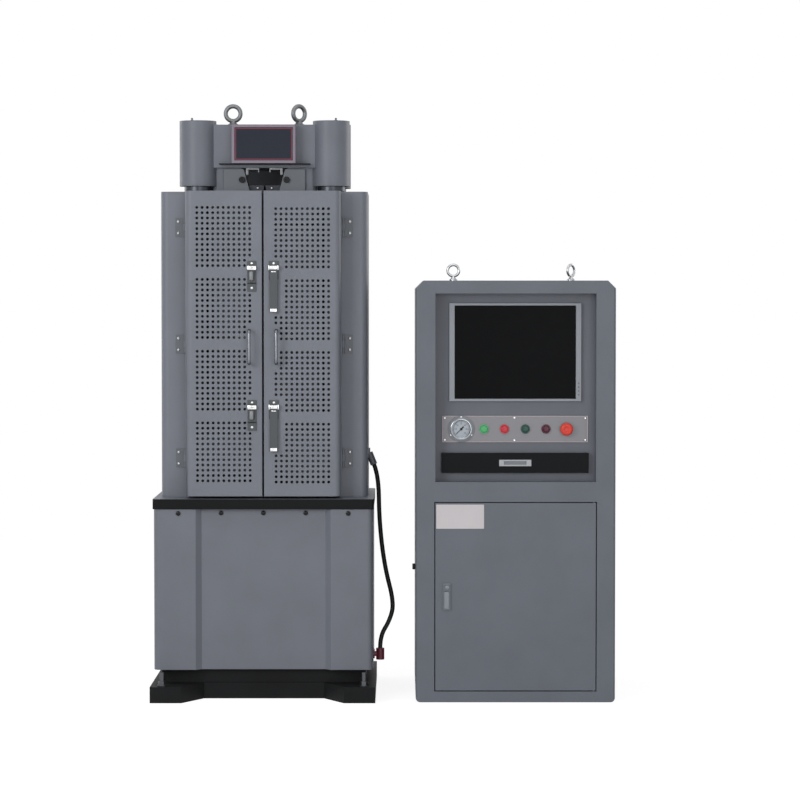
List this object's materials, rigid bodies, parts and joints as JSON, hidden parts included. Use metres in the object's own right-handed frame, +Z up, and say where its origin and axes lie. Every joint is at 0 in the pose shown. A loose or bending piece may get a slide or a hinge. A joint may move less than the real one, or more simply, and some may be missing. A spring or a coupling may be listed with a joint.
{
  "type": "universal testing machine",
  "caption": "Hydraulic universal testing machine: load frame with hinged perforated guard doors, wedge grips and platens, beside a control cabinet with monitor, gauge, buttons and drawer.",
  "frame": {"origin": "on the floor, at the middle of the pair's overall width and depth", "axes": "+X right, +Y back, +Z up, seen from the front"},
  "size_m": [1.445, 0.62, 1.8765],
  "materials": {
    "frame_grey": "satin",
    "guard_grey": "satin",
    "cabinet_grey": "satin",
    "edge_black": "satin",
    "base_black": "painted satin",
    "bright_steel": "turned",
    "jaw_steel": "hardened",
    "chrome": "polished",
    "zinc": "zinc plated",
    "hinge_grey": "satin",
    "latch_grey": "satin",
    "motor_blue_grey": "satin",
    "hose_rubber": "matt",
    "union_red": "satin",
    "bezel_silver": "satin",
    "screen_black": "gloss",
    "plate_light": "anodised",
    "gauge_grey": "satin",
    "needle_black": "matt",
    "start_green": "gloss",
    "stop_red": "gloss",
    "raise_green": "gloss",
    "lower_maroon": "gloss",
    "estop_red": "gloss",
    "drawer_black": "satin",
    "knob_black": "gloss"
  },
  "bodies": {
    "fixed_frame": {"base_casting": "base_black", "anchor_studs": "zinc", "lower_front_cover": "frame_grey", "lower_casing": "frame_grey", "table_plate": "edge_black", "main_cylinder": "bright_steel", "guard_left_panel": "guard_grey", "guard_right_panel": "guard_grey", "guard_rear_panel": "guard_grey", "hinge_frame_leaves": "hinge_grey", "drive_motor": "motor_blue_grey", "drive_chain": "jaw_steel", "hose_gland": "hinge_grey", "hose_union": "union_red", "drain_hose": "hose_rubber", "cabinet_shell": "cabinet_grey", "instrument_panel": "cabinet_grey", "monitor_housing": "bezel_silver", "monitor_screen": "screen_black", "control_plate": "plate_light", "gauge_case": "gauge_grey", "cabinet_eyebolts": "zinc", "oil_tank": "cabinet_grey", "pump_set": "motor_blue_grey"},
    "lifting_frame": {"piston": "chrome", "worktable": "frame_grey", "lower_platen": "bright_steel", "columns": "chrome", "upper_crosshead": "frame_grey", "head_eyebolts": "zinc", "name_box": "edge_black", "grip_plates": "frame_grey"},
    "crosshead": {"middle_crosshead": "frame_grey", "upper_platen": "bright_steel"},
    "upper_jaw_left": {"upper_left_jaw": "jaw_steel"},
    "upper_jaw_right": {"upper_right_jaw": "jaw_steel"},
    "lower_jaw_left": {"lower_left_jaw": "jaw_steel"},
    "lower_jaw_right": {"lower_right_jaw": "jaw_steel"},
    "screw_left": {"left_lead_screw": "bright_steel"},
    "screw_right": {"right_lead_screw": "bright_steel"},
    "pinion": {"motor_wheel": "jaw_steel"},
    "door_left": {"left_door": "guard_grey", "left_door_handle": "chrome", "latch_catches": "latch_grey"},
    "door_right": {"right_door": "guard_grey", "right_door_handle": "chrome", "latch_bases": "latch_grey"},
    "lever_upper": {"upper_latch_lever": "latch_grey"},
    "lever_lower": {"lower_latch_lever": "latch_grey"},
    "drawer": {"keyboard_drawer": "drawer_black", "drawer_pull": "bezel_silver"},
    "cabinet_front_door": {"cabinet_door": "cabinet_grey"},
    "lock_handle": {"door_lock": "zinc"},
    "needle": {"gauge_needle": "needle_black"},
    "button_start": {"start_button": "start_green"},
    "button_stop": {"stop_button": "stop_red"},
    "button_raise": {"raise_button": "raise_green"},
    "button_lower": {"lower_button": "lower_maroon"},
    "button_estop": {"estop_button": "estop_red"},
    "latch_knob": {"side_knob": "knob_black"}
  },
  "joints": [
    {"name": "frame_lift", "type": "slide", "parent": "fixed_frame", "child": "lifting_frame", "axis": [0, 0, 1], "range_m": [0, 0.14]},
    {"name": "crosshead_travel", "type": "slide", "parent": "fixed_frame", "child": "crosshead", "axis": [0, 0, 1], "range_m": [-0.1, 0.15]},
    {"name": "upper_left_jaw_slide", "type": "slide", "parent": "lifting_frame", "child": "upper_jaw_left", "axis": [-0.2588, 0, 0.9659], "range_m": [0, 0.04]},
    {"name": "upper_right_jaw_slide", "type": "slide", "parent": "lifting_frame", "child": "upper_jaw_right", "axis": [0.2588, 0, 0.9659], "range_m": [0, 0.04]},
    {"name": "lower_left_jaw_slide", "type": "slide", "parent": "crosshead", "child": "lower_jaw_left", "axis": [0.2588, 0, 0.9659], "range_m": [0, 0.04]},
    {"name": "lower_right_jaw_slide", "type": "slide", "parent": "crosshead", "child": "lower_jaw_right", "axis": [-0.2588, 0, 0.9659], "range_m": [0, 0.04]},
    {"name": "left_screw_turn", "type": "hinge", "parent": "fixed_frame", "child": "screw_left", "pos_m": [-0.5875, 0, 0.7], "axis": [0, 0, 1], "range_deg": [-2251, 3376]},
    {"name": "right_screw_turn", "type": "hinge", "parent": "fixed_frame", "child": "screw_right", "pos_m": [-0.1575, 0, 0.7], "axis": [0, 0, 1], "range_deg": [-2251, 3376]},
    {"name": "motor_wheel_turn", "type": "hinge", "parent": "fixed_frame", "child": "pinion", "pos_m": [-0.3725, 0.165, 0.3], "axis": [0, 0, 1], "range_deg": [-6815, 10222]},
    {"name": "left_door_swing", "type": "hinge", "parent": "fixed_frame", "child": "door_left", "pos_m": [-0.6208, -0.1563, 1.11], "axis": [0, 0, -1], "range_deg": [0, 95]},
    {"name": "right_door_swing", "type": "hinge", "parent": "fixed_frame", "child": "door_right", "pos_m": [-0.1242, -0.1563, 1.11], "axis": [0, 0, 1], "range_deg": [0, 95]},
    {"name": "upper_lever_swing", "type": "hinge", "parent": "door_right", "child": "lever_upper", "pos_m": [-0.3385, -0.251, 1.35], "axis": [-1, 0, 0], "range_deg": [0, 70]},
    {"name": "lower_lever_swing", "type": "hinge", "parent": "door_right", "child": "lever_lower", "pos_m": [-0.3385, -0.251, 0.917], "axis": [-1, 0, 0], "range_deg": [0, 70]},
    {"name": "drawer_slide", "type": "slide", "parent": "fixed_frame", "child": "drawer", "axis": [0, -1, 0], "range_m": [0, 0.3]},
    {"name": "cabinet_door_swing", "type": "hinge", "parent": "fixed_frame", "child": "cabinet_front_door", "pos_m": [0.6555, -0.284, 0.33], "axis": [0, 0, 1], "range_deg": [0, 110]},
    {"name": "lock_handle_swing", "type": "hinge", "parent": "cabinet_front_door", "child": "lock_handle", "pos_m": [0.1985, -0.2928, 0.3435], "axis": [-1, 0, 0], "range_deg": [0, 60]},
    {"name": "needle_turn", "type": "hinge", "parent": "fixed_frame", "child": "needle", "pos_m": [0.2445, -0.242, 0.848], "axis": [0, 1, 0], "range_deg": [0, 270]},
    {"name": "start_press", "type": "slide", "parent": "fixed_frame", "child": "button_start", "axis": [0, 1, 0], "range_m": [0, 0.004], "stiffness_N_per_m": 600},
    {"name": "stop_press", "type": "slide", "parent": "fixed_frame", "child": "button_stop", "axis": [0, 1, 0], "range_m": [0, 0.004], "stiffness_N_per_m": 600},
    {"name": "raise_press", "type": "slide", "parent": "fixed_frame", "child": "button_raise", "axis": [0, 1, 0], "range_m": [0, 0.004], "stiffness_N_per_m": 600},
    {"name": "lower_press", "type": "slide", "parent": "fixed_frame", "child": "button_lower", "axis": [0, 1, 0], "range_m": [0, 0.004], "stiffness_N_per_m": 600},
    {"name": "estop_press", "type": "slide", "parent": "fixed_frame", "child": "button_estop", "axis": [0, 1, 0], "range_m": [0, 0.006], "stiffness_N_per_m": 800},
    {"name": "knob_turn", "type": "hinge", "parent": "fixed_frame", "child": "latch_knob", "pos_m": [0.1025, -0.22, 0.417], "axis": [-1, 0, 0], "range_deg": [0, 90]}
  ],
  "couplings": [
    {"joint": "upper_right_jaw_slide", "follows": "upper_left_jaw_slide", "ratio": 1},
    {"joint": "lower_right_jaw_slide", "follows": "lower_left_jaw_slide", "ratio": 1},
    {"joint": "left_screw_turn", "follows": "crosshead_travel", "rad_per_m": 392.7},
    {"joint": "right_screw_turn", "follows": "crosshead_travel", "rad_per_m": 392.7},
    {"joint": "motor_wheel_turn", "follows": "crosshead_travel", "rad_per_m": 1189.3}
  ]
}
